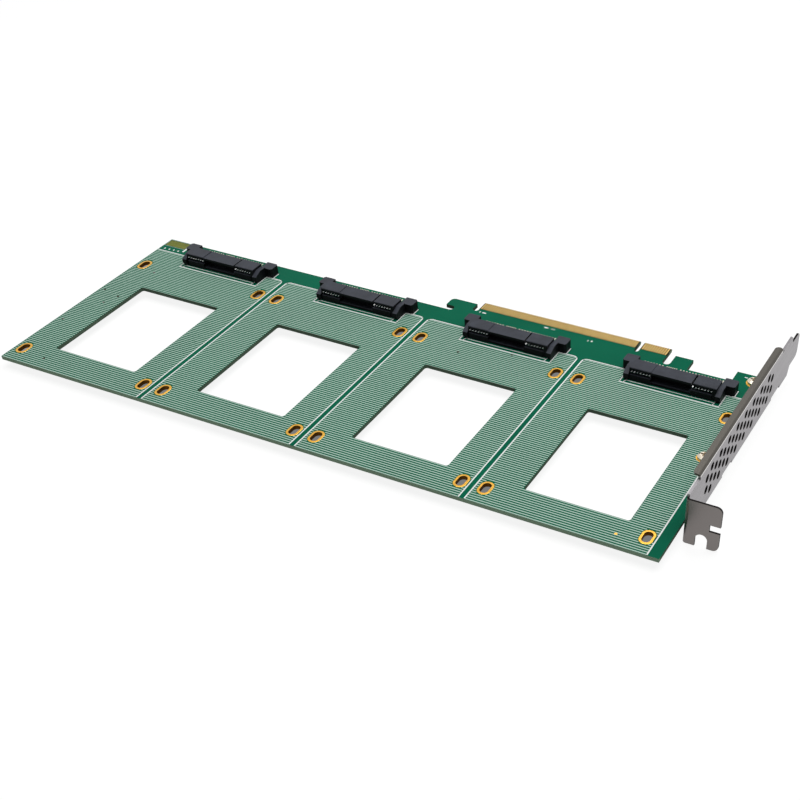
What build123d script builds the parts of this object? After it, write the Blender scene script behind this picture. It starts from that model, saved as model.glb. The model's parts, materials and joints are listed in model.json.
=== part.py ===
from build123d import *
import os

# Add-in card that carries four 2.5 inch drives flat on one long circuit board.
# Sizes are in millimetres. The card lies flat with its component side up.
# X runs from the edge connector's tips across the board, Y towards the bracket, Z up.
# The origin is at the key notch, on the line of the tips and on the component face.

# Circuit board: its ends stand these margins away from the outermost drive slots
board_thickness = 1.57
bracket_end_y = 57.0
bracket_end_margin = 7.84
open_end_margin = 4.1
front_margin = 8.75

# Edge connector
edge_tab_height = 11.8
pad_pitch = 1.0
pad_width = 0.7
pad_length = 4.85
pad_start = 0.75
pads_before_key = 11
pads_after_key = 71
key_notch_width = 1.9
key_notch_depth = 8.2
edge_margin = 0.825
tip_bevel_run = 0.7
tip_bevel_rise = 0.4
foil_thickness = 0.05

# Retention hook, locating tab and bracket ear of the board beside the edge connector
hook_gap = 2.6
hook_gap_depth = 8.0
hook_length = 12.0
hook_setback = 2.8
hook_radius = 2.0
throat_width = 3.35
throat_length = 4.5
tab_gap = 3.3
tab_length = 7.6
tab_setback = 4.4
corner_ear_length = 14.9
corner_ear_setback = 4.6

# Drive bays: the holes in the underside of a 2.5 inch drive, and the slots that meet them
bay_count = 4
bay_gap = 1.55
drive_hole_spacing_x = 76.6
drive_hole_spacing_y = 61.72
drive_hole_to_side = 4.065
drive_hole_to_end = 14.0
rear_row_inset = 24.5
slot_width = 3.4
slot_travel = 2.5

# Window through the board under each drive, measured in from the drive's slots
window_rear_inset = 16.6
window_front_inset = 5.3
window_left_inset = 12.2
window_right_inset = 8.7
window_radius = 1.0

# Drive receptacle
receptacle_shift_y = 5.2
seat_clearance = 0.35
open_side_wall = 0.365
bracket_side_wall = 1.565
body_back = 0.65
body_reach = 5.95
body_height = 5.4
body_chamfer = 0.2
recess_depth = 0.2
slit_width = 0.8
slit_back = 0.7
mouth_floor = 2.4
mouth_height = 1.9
mouth_depth = 5.0
mouth_end_room = 0.2
middle_drop = 1.4
middle_depth = 3.0
lip_reach = 0.3
arm_width = 2.1
arm_reach = 7.1
arm_height = 4.4
arm_tip_low = 1.0
arm_tip_high = 2.9
arm_ramp = 3.6
wing_width = 3.3
wing_depth = 5.2
wing_height = 4.0
wing_chamfer = 0.6
blade_width = 1.3
blade_thickness = 0.35
blade_protrusion = 0.7
blade_clearance = 0.1

# Receptacle contacts: a signal group, a lane group and a power group in one upper row
contact_rise = 1.3
contact_thickness = 0.2
contact_width = 0.5
contact_pitch = 1.27
signal_contacts = 7
power_contacts = 15
lane_contacts = 6
lane_pitch = 0.8
lane_contact_width = 0.4
group_gap = 7.62
contact_shift_y = -0.6
contact_setback = 0.15
front_contacts = 7
shoulder_run = 0.4
tail_drop_run = 5.75
tail_foot = 1.9

# Folded steel bracket
sheet = 0.86
fold_radius = 0.5
fold_root = 3.0
board_to_bracket = 1.5
bracket_height = 18.42
bracket_length = 120.02
bracket_tab_x = 104.55
screw_tab_reach = 12.2
screw_tab_width = 18.3
screw_tab_drop = 2.5
screw_tab_radius = 2.2
screw_notch_width = 4.42
screw_notch_depth = 5.4
screw_notch_offset = 5.84
side_notch_width = 2.8
side_notch_depth = 3.85
side_notch_rise = 9.0
flange_width = 3.0
flange_start = 11.1
flange_length = 86.8
flange_radius = 1.6
relief_width = 1.0
relief_depth = 0.7
ear_relief = 0.4
tongue_length = 8.9
tongue_width = 10.19
tongue_rise = 3.5
shoulder_slope = 1.8
tongue_radius = 2.2

# Vent holes in staggered columns, with few sides so that the part stays light
vent_radius = 1.66
vent_sides = 12
vent_columns = 17
vent_pitch_x = 4.28
vent_pitch_z = 4.75
vent_centre_from_tab = 52.9
vent_rise = 9.28

# Bracket ears under the board and the screws that clamp the board to them
first_screw_x = 9.6
screw_spacing = 53.7
screw_inset = 6.6
ear_width = 9.0
ear_end = 4.5
screw_radius = 1.5
screw_hole_clearance = 0.2
thread_clearance = 0.03
head_radius = 2.5
head_height = 1.7
head_chamfer_side = 0.7
head_chamfer_top = 1.0
screw_protrusion = 1.2
cross_width = 0.8
cross_length = 2.8
cross_depth = 1.0

# Parts on the solder side
buffer_size = 5.0
buffer_height = 0.9
buffer_chamfer = 0.6
buffer_inset = 12.2
bulk_length = 3.5
bulk_width = 2.8
bulk_height = 1.9
bulk_inset = 4.0
bulk_spacing_y = 9.0
chip_length = 1.6
chip_width = 0.8
chip_height = 0.8
chip_inset = 4.0
chip_spacing_y = 6.0
chips_per_bay = 3

# Places that follow from the sizes above
bay_pitch = drive_hole_spacing_y + 2 * drive_hole_to_side + bay_gap
last_bay_y = bracket_end_y - bracket_end_margin - drive_hole_spacing_y / 2
bay_ys = [last_bay_y - bay_pitch * (bay_count - 1 - bay) for bay in range(bay_count)]
rear_row_x = edge_tab_height + rear_row_inset
front_row_x = rear_row_x + drive_hole_spacing_x
board_start_y = bay_ys[0] - drive_hole_spacing_y / 2 - open_end_margin
board_front_x = front_row_x + front_margin
window_size_x = drive_hole_spacing_x - window_rear_inset - window_front_inset
window_size_y = drive_hole_spacing_y - window_left_inset - window_right_inset
window_x = rear_row_x + window_rear_inset + window_size_x / 2
window_shift_y = (window_left_inset - window_right_inset) / 2
slot_length = slot_width + slot_travel
solder_face_z = -board_thickness
long_run = (pads_after_key - 1) * pad_pitch + 2 * edge_margin
short_run = (pads_before_key - 1) * pad_pitch + 2 * edge_margin
edge_start_y = -key_notch_width / 2 - long_run
edge_end_y = key_notch_width / 2 + short_run
hook_start_y = edge_start_y - hook_gap - hook_length
tab_start_y = edge_end_y + tab_gap
seat_x = rear_row_x - drive_hole_to_end - seat_clearance
body_front_x = seat_x + body_reach
body_rear_x = seat_x - body_back
wing_rear_x = seat_x - wing_depth
plate_inner_y = bracket_end_y + board_to_bracket
plate_outer_y = plate_inner_y + sheet
fold_outer = fold_radius + sheet
plate_low_z = solder_face_z - sheet
plate_high_z = plate_low_z + bracket_height
plate_edge_z = plate_high_z - fold_outer
tongue_end_x = bracket_tab_x - bracket_length
tongue_low_z = plate_low_z + tongue_rise
flange_high_x = bracket_tab_x - flange_start
flange_low_x = flange_high_x - flange_length
vent_centre_x = bracket_tab_x - vent_centre_from_tab
screw_xs = (first_screw_x, first_screw_x + screw_spacing)
screw_y = bracket_end_y - screw_inset
tab_low_z = plate_low_z - screw_tab_drop
tab_end_y = plate_outer_y + screw_tab_reach
blade_x = wing_rear_x + wing_depth / 2

# Contact places along a receptacle, measured from its centre
signal_start = contact_shift_y - ((signal_contacts + power_contacts - 2) * contact_pitch + group_gap) / 2
signal_end = signal_start + (signal_contacts - 1) * contact_pitch
power_start = signal_end + group_gap
lane_start = (signal_end + power_start - (lane_contacts - 1) * lane_pitch) / 2
contact_row = [(signal_start + contact_pitch * n, contact_width) for n in range(signal_contacts)]
contact_row += [(lane_start + lane_pitch * n, lane_contact_width) for n in range(lane_contacts)]
contact_row += [(power_start + contact_pitch * n, contact_width) for n in range(power_contacts)]
row_start = contact_row[0][0] - contact_width / 2
row_end = contact_row[-1][0] + contact_width / 2
contact_top_z = mouth_floor + contact_rise
contact_low_z = contact_top_z - contact_thickness

# Places along a receptacle that follow from its contacts
mouth_low = row_start - mouth_end_room
mouth_high = row_end + mouth_end_room
body_low = mouth_low - open_side_wall
body_high = mouth_high + bracket_side_wall
arm_ys = (body_low - arm_width / 2, body_high + arm_width / 2)
wing_ys = (body_low - arm_width - wing_width / 2, body_high + arm_width + wing_width / 2)
middle_low = contact_row[front_contacts - 1][0] + contact_pitch / 2
middle_high = contact_row[-front_contacts][0] - contact_pitch / 2


def write(piece, name):
    """Labels a finished piece and writes it to its own file."""
    piece.part.label = name
    export_step(piece.part, f"parts/{name}.step")


def drive_slots(bay_y):
    """Centres of the four slots that a drive is screwed through."""
    return [
        (x, bay_y + side * drive_hole_spacing_y / 2)
        for x in (rear_row_x, front_row_x)
        for side in (-1, 1)
    ]


def blades(bay_y):
    """Centres of the two blades that hold a bay's receptacle down."""
    return [(blade_x, bay_y + receptacle_shift_y + wing_y) for wing_y in wing_ys]


def span(low_x, high_x, low_y, high_y, mode=Mode.ADD):
    """Rectangle of a sketch given by its limits."""
    with Locations(((low_x + high_x) / 2, (low_y + high_y) / 2)):
        Rectangle(high_x - low_x, high_y - low_y, mode=mode)


def edge_slot(depth, centre_y, width):
    """Round-bottomed slot cut in from the line of the tips."""
    with Locations((0, centre_y)):
        SlotOverall(2 * depth, width, mode=Mode.SUBTRACT)


def fold_points(leg_a, leg_b):
    """Corners of a folded sheet's section, with the outer corner of the fold first."""
    return [(0, 0), (leg_a, 0), (leg_a, sheet), (sheet, sheet), (sheet, leg_b), (0, leg_b)]


def round_fold(section):
    """Rounds the inner and the outer corner of a folded section."""
    for distance, radius in ((sheet, fold_radius), (0, fold_outer)):
        corner = section.vertices().sort_by_distance(Vector(distance, distance))[0]
        fillet(corner, radius)


os.makedirs("parts", exist_ok=True)

# Circuit board: one laminate with the edge tab, hook, windows, slots and holes
with BuildPart() as circuit_board:
    with BuildSketch(Plane.XY.offset(solder_face_z)) as outline:
        span(edge_tab_height, board_front_x, board_start_y, bracket_end_y)
        span(0, edge_tab_height, edge_start_y, edge_end_y)
        span(hook_setback, edge_tab_height, hook_start_y, edge_start_y)
        nose = outline.vertices().group_by(Axis.X)[1].sort_by(Axis.Y)[0]
        fillet(nose, hook_radius)
        throat_x = edge_tab_height - throat_width / 2
        with Locations((throat_x, hook_start_y)):
            SlotOverall(2 * throat_length, throat_width, rotation=90, mode=Mode.SUBTRACT)
        span(edge_tab_height - tab_gap / 2, edge_tab_height, edge_end_y, tab_start_y)
        span(tab_setback, edge_tab_height, tab_start_y, tab_start_y + tab_length)
        span(corner_ear_setback, edge_tab_height, bracket_end_y - corner_ear_length, bracket_end_y)
        edge_slot(key_notch_depth, 0, key_notch_width)
        edge_slot(hook_gap_depth, edge_start_y - hook_gap / 2, hook_gap)
        edge_slot(edge_tab_height, edge_end_y + tab_gap / 2, tab_gap)
        for bay_y in bay_ys:
            with Locations((window_x, bay_y + window_shift_y)):
                RectangleRounded(window_size_x, window_size_y, window_radius, mode=Mode.SUBTRACT)
            with Locations(drive_slots(bay_y)):
                SlotOverall(slot_length, slot_width, mode=Mode.SUBTRACT)
            with Locations(blades(bay_y)):
                Rectangle(
                    blade_width + 2 * blade_clearance,
                    blade_thickness + 2 * blade_clearance,
                    mode=Mode.SUBTRACT,
                )
        with Locations([(x, screw_y) for x in screw_xs]):
            Circle(screw_radius + screw_hole_clearance, mode=Mode.SUBTRACT)
    extrude(amount=board_thickness)
    with BuildSketch(Plane.XZ.offset(-(edge_start_y + edge_end_y) / 2)) as bevel:
        for face_z, inward in ((0, -1), (solder_face_z, 1)):
            with BuildLine():
                Polyline(
                    (0, face_z), (tip_bevel_run, face_z), (0, face_z + inward * tip_bevel_rise), close=True
                )
            make_face()
    extrude(amount=(edge_end_y - edge_start_y) / 2 + 1, both=True, mode=Mode.SUBTRACT)
write(circuit_board, "circuit_board")

# Gold pads of the edge connector, one row on each face of the board
pad_ys = [-key_notch_width / 2 - edge_margin - pad_pitch * n for n in range(pads_after_key)]
pad_ys += [key_notch_width / 2 + edge_margin + pad_pitch * n for n in range(pads_before_key)]
pad_x = pad_start + pad_length / 2
for side_name, base_z, rise in (("component", 0, 1), ("solder", solder_face_z, -1)):
    with BuildPart() as edge_pads:
        with BuildSketch(Plane.XY.offset(base_z)) as pad_row:
            with Locations([(pad_x, y) for y in pad_ys]):
                Rectangle(pad_length, pad_width)
        extrude(amount=rise * foil_thickness)
    write(edge_pads, f"edge_pads_{side_name}_side")

for bay, bay_y in enumerate(bay_ys, start=1):
    centre_y = bay_y + receptacle_shift_y

    # Moulded housing: body with the mouth, two guide arms and two end wings
    with BuildPart() as housing:
        with BuildSketch(Plane.XY) as body_plan:
            span(body_rear_x, body_front_x, centre_y + body_low, centre_y + body_high)
        extrude(amount=body_height)
        front_top = housing.edges().filter_by(Axis.Y).group_by(Axis.Z)[-1].sort_by(Axis.X)[-1]
        chamfer(front_top, body_chamfer)
        with BuildSketch(Plane.XY.offset(body_height)) as top_recess:
            span(body_rear_x, body_front_x, centre_y + middle_low, centre_y + middle_high)
        extrude(amount=-recess_depth, mode=Mode.SUBTRACT)
        with BuildSketch(Plane.XY.offset(body_height)) as slit:
            slit_y = centre_y + middle_high
            span(body_rear_x + slit_back, body_front_x, slit_y, slit_y + slit_width)
        extrude(amount=mouth_floor + mouth_height - body_height, mode=Mode.SUBTRACT)
        with BuildSketch(Plane.XY.offset(mouth_floor)) as mouth:
            span(body_front_x - mouth_depth, body_front_x, centre_y + mouth_low, centre_y + mouth_high)
        extrude(amount=mouth_height, mode=Mode.SUBTRACT)
        with BuildSketch(Plane.XY.offset(mouth_floor)) as middle_step:
            span(body_front_x - middle_depth, body_front_x, centre_y + middle_low, centre_y + middle_high)
        extrude(amount=-middle_drop, mode=Mode.SUBTRACT)
        with BuildSketch(Plane.XY) as lips:
            for lip_low, lip_high in ((mouth_low, middle_low), (middle_high, mouth_high)):
                span(body_front_x, body_front_x + lip_reach, centre_y + lip_low, centre_y + lip_high)
        extrude(amount=mouth_floor)
        with BuildSketch(Plane.XY.offset(contact_low_z)) as rear_window:
            span(body_rear_x, body_front_x - mouth_depth, centre_y + row_start, centre_y + row_end)
        extrude(amount=contact_thickness, mode=Mode.SUBTRACT)
        for arm_y, wing_y in zip(arm_ys, wing_ys):
            with BuildSketch(Plane.XZ.offset(-centre_y - arm_y)) as arm_side:
                tip_x = seat_x + arm_reach
                with BuildLine():
                    Polyline(
                        (wing_rear_x, 0),
                        (body_front_x, 0),
                        (tip_x, arm_tip_low),
                        (tip_x, arm_tip_high),
                        (tip_x - arm_ramp, arm_height),
                        (seat_x, arm_height),
                        (seat_x, wing_height),
                        (wing_rear_x, wing_height),
                        close=True,
                    )
                make_face()
            extrude(amount=arm_width / 2, both=True)
            with BuildSketch(Plane.XY) as wing_plan:
                wing_low = centre_y + wing_y - wing_width / 2
                span(wing_rear_x, seat_x, wing_low, wing_low + wing_width)
                corners = wing_plan.vertices().sort_by(Axis.Y)
                chamfer(corners[2:] if wing_y > 0 else corners[:2], wing_chamfer)
            extrude(amount=wing_height)
    write(housing, f"receptacle_{bay}_housing")

    # Contacts: one strip bent from the mouth to the solder feet, parted between the contacts
    with BuildPart() as contacts:
        with BuildSketch(Plane.XZ.offset(-(centre_y + (row_start + row_end) / 2))) as strip_side:
            bend_x = body_rear_x - shoulder_run
            foot_x = bend_x - tail_drop_run
            with BuildLine():
                Polyline(
                    (body_front_x - contact_setback, contact_top_z),
                    (bend_x, contact_top_z),
                    (foot_x, contact_thickness),
                    (foot_x - tail_foot, contact_thickness),
                    (foot_x - tail_foot, 0),
                    (foot_x, 0),
                    (bend_x, contact_low_z),
                    (body_front_x - contact_setback, contact_low_z),
                    close=True,
                )
            make_face()
        extrude(amount=(row_end - row_start) / 2, both=True)
        with BuildSketch(Plane.XY) as partings:
            for (y, width), (next_y, next_width) in zip(contact_row, contact_row[1:]):
                span(
                    foot_x - tail_foot, body_front_x,
                    centre_y + y + width / 2, centre_y + next_y - next_width / 2,
                )
            span(body_front_x - middle_depth, body_front_x, centre_y + middle_low, centre_y + middle_high)
        extrude(amount=contact_top_z, mode=Mode.SUBTRACT)
    write(contacts, f"receptacle_{bay}_contacts")

    # Metal blades under the wings that hold the housing down through the board
    with BuildPart() as hold_downs:
        with BuildSketch(Plane.XY) as blade_plan:
            with Locations(blades(bay_y)):
                Rectangle(blade_width, blade_thickness)
        extrude(amount=-(board_thickness + blade_protrusion))
    write(hold_downs, f"receptacle_{bay}_hold_downs")

# Bracket: one folded sheet with vents, top flange, screw tab, tongue and two ears
with BuildPart() as bracket:
    plate_plane = Plane(origin=(0, plate_inner_y, 0), x_dir=(1, 0, 0), z_dir=(0, -1, 0))
    flat_end_x = bracket_tab_x - fold_outer
    shoulder_x = tongue_end_x + tongue_length
    with BuildSketch(plate_plane) as plate:
        with BuildLine():
            Polyline(
                (flat_end_x, plate_low_z),
                (flat_end_x, plate_edge_z),
                (shoulder_x + shoulder_slope, plate_edge_z),
                (shoulder_x, tongue_low_z + tongue_width),
                (tongue_end_x, tongue_low_z + tongue_width),
                (tongue_end_x, tongue_low_z),
                (shoulder_x, tongue_low_z),
                (shoulder_x + shoulder_slope, plate_low_z),
                close=True,
            )
        make_face()
        fillet(plate.vertices().group_by(Axis.X)[0], tongue_radius)
        for column in range(vent_columns):
            column_x = vent_centre_x + (column - (vent_columns - 1) / 2) * vent_pitch_x
            with Locations((column_x, plate_low_z + vent_rise)):
                with GridLocations(1, vent_pitch_z, 1, 2 + column % 2):
                    RegularPolygon(vent_radius, vent_sides, mode=Mode.SUBTRACT)
        with Locations([(x, plate_low_z) for x in screw_xs]):
            Rectangle(ear_width + 2 * ear_relief, 2 * fold_outer, mode=Mode.SUBTRACT)
    extrude(amount=-sheet)
    flange_middle_x = (flange_low_x + flange_high_x) / 2
    flange_plane = Plane(
        origin=(flange_middle_x, plate_outer_y, plate_high_z), x_dir=(0, -1, 0), z_dir=(1, 0, 0)
    )
    with BuildSketch(flange_plane) as flange_section:
        with BuildLine():
            Polyline(fold_points(flange_width, fold_root), close=True)
        make_face()
        round_fold(flange_section)
    extrude(amount=flange_length / 2, both=True)
    flange_ends = bracket.edges().filter_by(Axis.Z).group_by(Axis.Y)[0]
    fillet(flange_ends, flange_radius)
    with BuildSketch(plate_plane) as reliefs:
        for relief_x in (flange_low_x - relief_width / 2, flange_high_x + relief_width / 2):
            with Locations((relief_x, plate_edge_z)):
                Rectangle(relief_width, 2 * relief_depth)
    extrude(amount=-sheet, mode=Mode.SUBTRACT)
    for ear_x in screw_xs:
        ear_plane = Plane(
            origin=(ear_x, plate_outer_y, plate_low_z), x_dir=(0, -1, 0), z_dir=(-1, 0, 0)
        )
        with BuildSketch(ear_plane) as ear_section:
            with BuildLine():
                Polyline(fold_points(plate_outer_y - screw_y + ear_end, fold_root), close=True)
            make_face()
            round_fold(ear_section)
        extrude(amount=ear_width / 2, both=True)
    tab_plane = Plane(
        origin=(bracket_tab_x, plate_inner_y, tab_low_z), x_dir=(-1, 0, 0), z_dir=(0, 0, -1)
    )
    with BuildSketch(tab_plane) as tab_section:
        with BuildLine():
            Polyline(fold_points(fold_root, sheet + screw_tab_reach), close=True)
        make_face()
        round_fold(tab_section)
    extrude(amount=-screw_tab_width)
    tab_corners = bracket.edges().filter_by(Axis.X).group_by(Axis.Y)[-1]
    fillet(tab_corners, screw_tab_radius)
    with BuildSketch(Plane.YZ.offset(bracket_tab_x)) as tab_cuts:
        with Locations((plate_outer_y + screw_notch_offset, tab_low_z)):
            SlotOverall(2 * screw_notch_depth, screw_notch_width, rotation=90)
        with Locations((tab_end_y, tab_low_z + side_notch_rise)):
            Rectangle(2 * side_notch_depth, side_notch_width)
    extrude(amount=-sheet, mode=Mode.SUBTRACT)
    with BuildSketch(Plane.XY.offset(plate_low_z)) as threads:
        with Locations([(x, screw_y) for x in screw_xs]):
            Circle(screw_radius + thread_clearance)
    extrude(amount=sheet, mode=Mode.SUBTRACT)
write(bracket, "mounting_bracket")

# Pan head screws with a cross recess
with BuildPart() as bracket_screws:
    with BuildSketch(Plane.XY) as head_plan:
        with Locations([(x, screw_y) for x in screw_xs]):
            Circle(head_radius)
    extrude(amount=head_height)
    head_tops = bracket_screws.edges().group_by(Axis.Z)[-1]
    chamfer(head_tops, head_chamfer_side, head_chamfer_top)
    with BuildSketch(Plane.XY) as shanks:
        with Locations([(x, screw_y) for x in screw_xs]):
            Circle(screw_radius)
    extrude(amount=plate_low_z - screw_protrusion)
    with BuildSketch(Plane.XY.offset(head_height)) as crosses:
        with Locations([(x, screw_y) for x in screw_xs]):
            Rectangle(cross_length, cross_width)
            Rectangle(cross_width, cross_length)
    extrude(amount=-cross_depth, mode=Mode.SUBTRACT)
write(bracket_screws, "bracket_screws")

# Clock buffer that gives every drive its own reference clock
with BuildPart() as clock_buffer:
    with BuildSketch(Plane.XY.offset(solder_face_z)) as buffer_plan:
        with Locations((edge_tab_height + buffer_inset, (edge_start_y + edge_end_y) / 2)):
            Rectangle(buffer_size, buffer_size)
        chamfer(buffer_plan.vertices().sort_by_distance(Vector(0, 0))[0], buffer_chamfer)
    extrude(amount=-buffer_height)
write(clock_buffer, "clock_buffer")

# Bulk capacitors on the drives' supply, two beside each receptacle
with BuildPart() as bulk_capacitors:
    with BuildSketch(Plane.XY.offset(solder_face_z)) as bulk_plan:
        for bay_y in bay_ys:
            with Locations((seat_x + bulk_inset, bay_y + receptacle_shift_y)):
                with GridLocations(1, bulk_spacing_y, 1, 2):
                    Rectangle(bulk_width, bulk_length)
    extrude(amount=-bulk_height)
write(bulk_capacitors, "bulk_capacitors")

# Chip capacitors beside each receptacle's rows of feet
with BuildPart() as chip_capacitors:
    with BuildSketch(Plane.XY.offset(solder_face_z)) as chip_plan:
        for bay_y in bay_ys:
            with Locations((seat_x - chip_inset, bay_y + receptacle_shift_y)):
                with GridLocations(1, chip_spacing_y, 1, chips_per_bay):
                    Rectangle(chip_width, chip_length)
    extrude(amount=-chip_height)
write(chip_capacitors, "chip_capacitors")
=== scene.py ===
import json
import math

import bmesh
import bpy
from bpy.props import FloatProperty, IntProperty, PointerProperty, StringProperty
from bpy.types import Operator, Panel, PropertyGroup
from mathutils import Matrix, Vector


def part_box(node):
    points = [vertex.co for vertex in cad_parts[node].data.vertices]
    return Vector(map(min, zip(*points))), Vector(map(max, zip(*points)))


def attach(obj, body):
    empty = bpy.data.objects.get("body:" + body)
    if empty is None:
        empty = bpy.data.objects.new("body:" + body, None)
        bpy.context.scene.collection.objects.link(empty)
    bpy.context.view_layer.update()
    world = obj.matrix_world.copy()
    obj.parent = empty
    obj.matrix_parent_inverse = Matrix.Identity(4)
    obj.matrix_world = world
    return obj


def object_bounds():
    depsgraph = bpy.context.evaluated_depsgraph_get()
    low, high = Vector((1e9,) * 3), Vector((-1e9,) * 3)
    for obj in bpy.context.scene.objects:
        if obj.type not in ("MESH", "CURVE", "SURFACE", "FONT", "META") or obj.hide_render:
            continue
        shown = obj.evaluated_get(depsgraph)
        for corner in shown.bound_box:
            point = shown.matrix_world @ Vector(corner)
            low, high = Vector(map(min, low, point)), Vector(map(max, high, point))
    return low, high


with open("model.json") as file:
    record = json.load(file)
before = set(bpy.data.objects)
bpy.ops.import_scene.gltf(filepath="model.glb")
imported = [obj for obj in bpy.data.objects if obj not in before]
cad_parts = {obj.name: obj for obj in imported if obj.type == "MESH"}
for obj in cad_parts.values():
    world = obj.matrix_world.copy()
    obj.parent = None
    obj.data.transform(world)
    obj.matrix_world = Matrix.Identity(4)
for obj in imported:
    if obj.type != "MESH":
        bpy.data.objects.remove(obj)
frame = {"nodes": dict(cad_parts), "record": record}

bl_info = {
    "name": "Drive Carrier Card",
    "version": (1, 0, 0),
    "blender": (4, 5, 0),
    "location": "View3D > Sidebar > Carrier Card",
    "description": "Dresses an edge connector card for four drives with its finishes, legend and plating",
    "category": "Object",
}

CAD_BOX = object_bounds()
MM = 0.001
RECORD = frame["record"]
SLOTS = {m["name"]: m for m in RECORD["mounts"] if m["name"].endswith("drive_slots")}
BAYS = [Vector(SLOTS[name]["pos_m"]) for name in sorted(SLOTS)]
SLOT_DIMS = SLOTS[sorted(SLOTS)[0]]["dims"]
SPACING_X = SLOT_DIMS["spacing_x_mm"] * MM
SPACING_Y = SLOT_DIMS["spacing_y_mm"] * MM
SLOT_HALF_WIDTH = SLOT_DIMS["hole_r_mm"] * MM
SLOT_TRAVEL = SLOT_DIMS["slot_length_mm"] * MM - 2 * SLOT_HALF_WIDTH
BOARD_LOW, BOARD_HIGH = (Vector(corner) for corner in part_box("circuit_board"))
HOUSINGS = [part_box(f"receptacle_{n}_housing") for n in range(1, len(BAYS) + 1)]
# Outer face of the bracket's plate, past the board's end
PLATE_OUTER_Y = BOARD_HIGH.y + 2.36 * MM
PAD_PITCH = 1.0 * MM
PAD_WIDTH = 0.7 * MM
PAD_LOW, PAD_HIGH = (Vector(corner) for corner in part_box("edge_pads_component_side"))
# Small printed marks: middle X and Y, then size in X and Y, all in millimetres
SMALL_MARKS = (
    (8.0, -71.2, 0.9, 0.4), (8.1, -69.2, 0.7, 1.7), (7.4, -40.4, 0.7, 1.8), (7.4, -37.8, 0.9, 0.3),
    (7.4, -36.8, 0.9, 0.3), (9.2, -20.6, 1.0, 0.3), (9.0, -19.0, 0.9, 0.7),
    (20.0, -228.3, 0.9, 0.7), (19.9, -225.9, 0.9, 0.7), (19.8, -223.5, 0.9, 0.7), (19.8, -221.0, 0.9, 0.7),
    (18.0, -218.6, 3.2, 0.9), (7.3, 46.6, 0.5, 1.3),
)
# Small bare vias: middle X and Y in millimetres
VIAS = (
    (61.3, -228.3), (88.5, -227.9), (40.3, -218.3), (70.1, -221.6), (63.6, -219.1), (115.4, -213.9),
    (39.4, -64.4), (32.0, -43.7),
)
# Blank batch field in the far rear corner: two corners in millimetres
FIELD_CORNERS = ((12.3, -230.4), (17.4, -219.3))
# Gold test point: middle X and Y in millimetres
TEST_POINT = (115.9, 38.9)
# The record's openings stand this far inside the windows' walls
WINDOW_INSET = 1.0 * MM
WINDOWS = [o["box_m"] for o in RECORD["physics"]["openings"] if o["name"].endswith("_window")]
# A limit that lies past everything on the card, for a stretch that is open at that end
BEYOND = 1.0
# Where the photograph was taken from
EYE = Vector((406.18, 155.93, 260.60)) * MM
# A hatch stroke that is shorter or narrower than this is left out, and clipped strokes stand this far apart
SHORTEST_STROKE = 0.5 * MM
NARROWEST_STROKE = 0.1 * MM
STROKE_GAP = 0.02 * MM


def length(name, default_mm, description):
    """A property that holds a length, with its default given in millimetres."""
    return FloatProperty(
        name=name, description=description, default=default_mm * MM, unit="LENGTH", subtype="DISTANCE", precision=5
    )


def tint(name, code, description):
    """A property that holds a colour as an sRGB hex value."""
    return StringProperty(name=name, description=description, default=code)


class CardSizes(PropertyGroup):
    """Sizes of the printed and plated details."""

    ink_height: length("Ink height", 0.02, "Height of the printed legend over the mask")
    outline_width: length("Outline width", 0.5, "Width of the legend's outline strokes")
    outline_radius: length("Outline radius", 2.0, "Radius of the outline's rear corners")
    bay_left: length("Bay left", 34.86, "From a bay's middle to its outline away from the bracket")
    bay_right: length("Bay right", 34.19, "From a bay's middle to its outline nearest the bracket")
    bay_rear: length("Bay rear", 52.6, "From a bay's middle back to its rear outline")
    edge_margin: length("Edge margin", 0.3, "From the board's edge to the end of an outline")
    # Drawn coarser than the real hatching, which is probably near 0.65 mm from stroke to stroke
    hatch_pitch: length("Hatch pitch", 1.2, "Distance from one hatch stroke to the next")
    hatch_width: length("Hatch width", 0.51, "Width of one hatch stroke")
    hatch_margin: length("Hatch margin", 0.15, "Bare mask left between the hatching and what it goes round")
    hatch_edge: length("Hatch edge", 0.2, "From the board's far edge to the hatching")
    land_width: length("Land width", 0.85, "Width of the gold land around a drive slot")
    land_height: length("Land height", 0.04, "Height of plating over the board")
    land_bevel: length("Land bevel", 0.1, "Bevel at the rim of a land")
    plating: length("Plating", 0.05, "Thickness of the plated wall in a slot")
    fine_width: length("Fine width", 0.45, "Width of the strokes printed around a receptacle")
    tick_length: length("Tick length", 3.0, "Length of a corner tick inside a receptacle's outline")
    front_line: length("Front line", 1.7, "From a receptacle's arm tips to the outline in front of them")
    inner_line: length("Inner line", 0.1, "From a receptacle's arm tips back to the inner stroke")
    gap_left: length("Gap left", 20.8, "From a receptacle's middle to its side stroke away from the bracket")
    gap_right: length("Gap right", 20.35, "From a receptacle's middle to its side stroke nearest the bracket")
    tick_left: length("Tick left", 2.2, "From the side stroke to the tick, away from the bracket")
    tick_right: length("Tick right", 2.3, "From the side stroke to the tick, nearest the bracket")
    lean_left: length("Lean left", 0.8, "How far the slanted stroke leans, away from the bracket")
    lean_right: length("Lean right", 0.5, "How far the slanted stroke leans, nearest the bracket")
    beside: length("Beside", 3.2, "From a receptacle's side stroke to the short stroke past it")
    via_radius: length("Via radius", 0.6, "Outer radius of a small bare via")
    screw_land_radius: length("Screw land radius", 3.0, "Outer radius of the land under a bracket screw")
    head_rim: length("Head rim", 0.8, "How far a bracket screw's head reaches past its hole")
    ring_steps: IntProperty(
        name="Ring steps", description="Steps around one gold ring", default=28, min=12, max=96
    )


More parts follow.
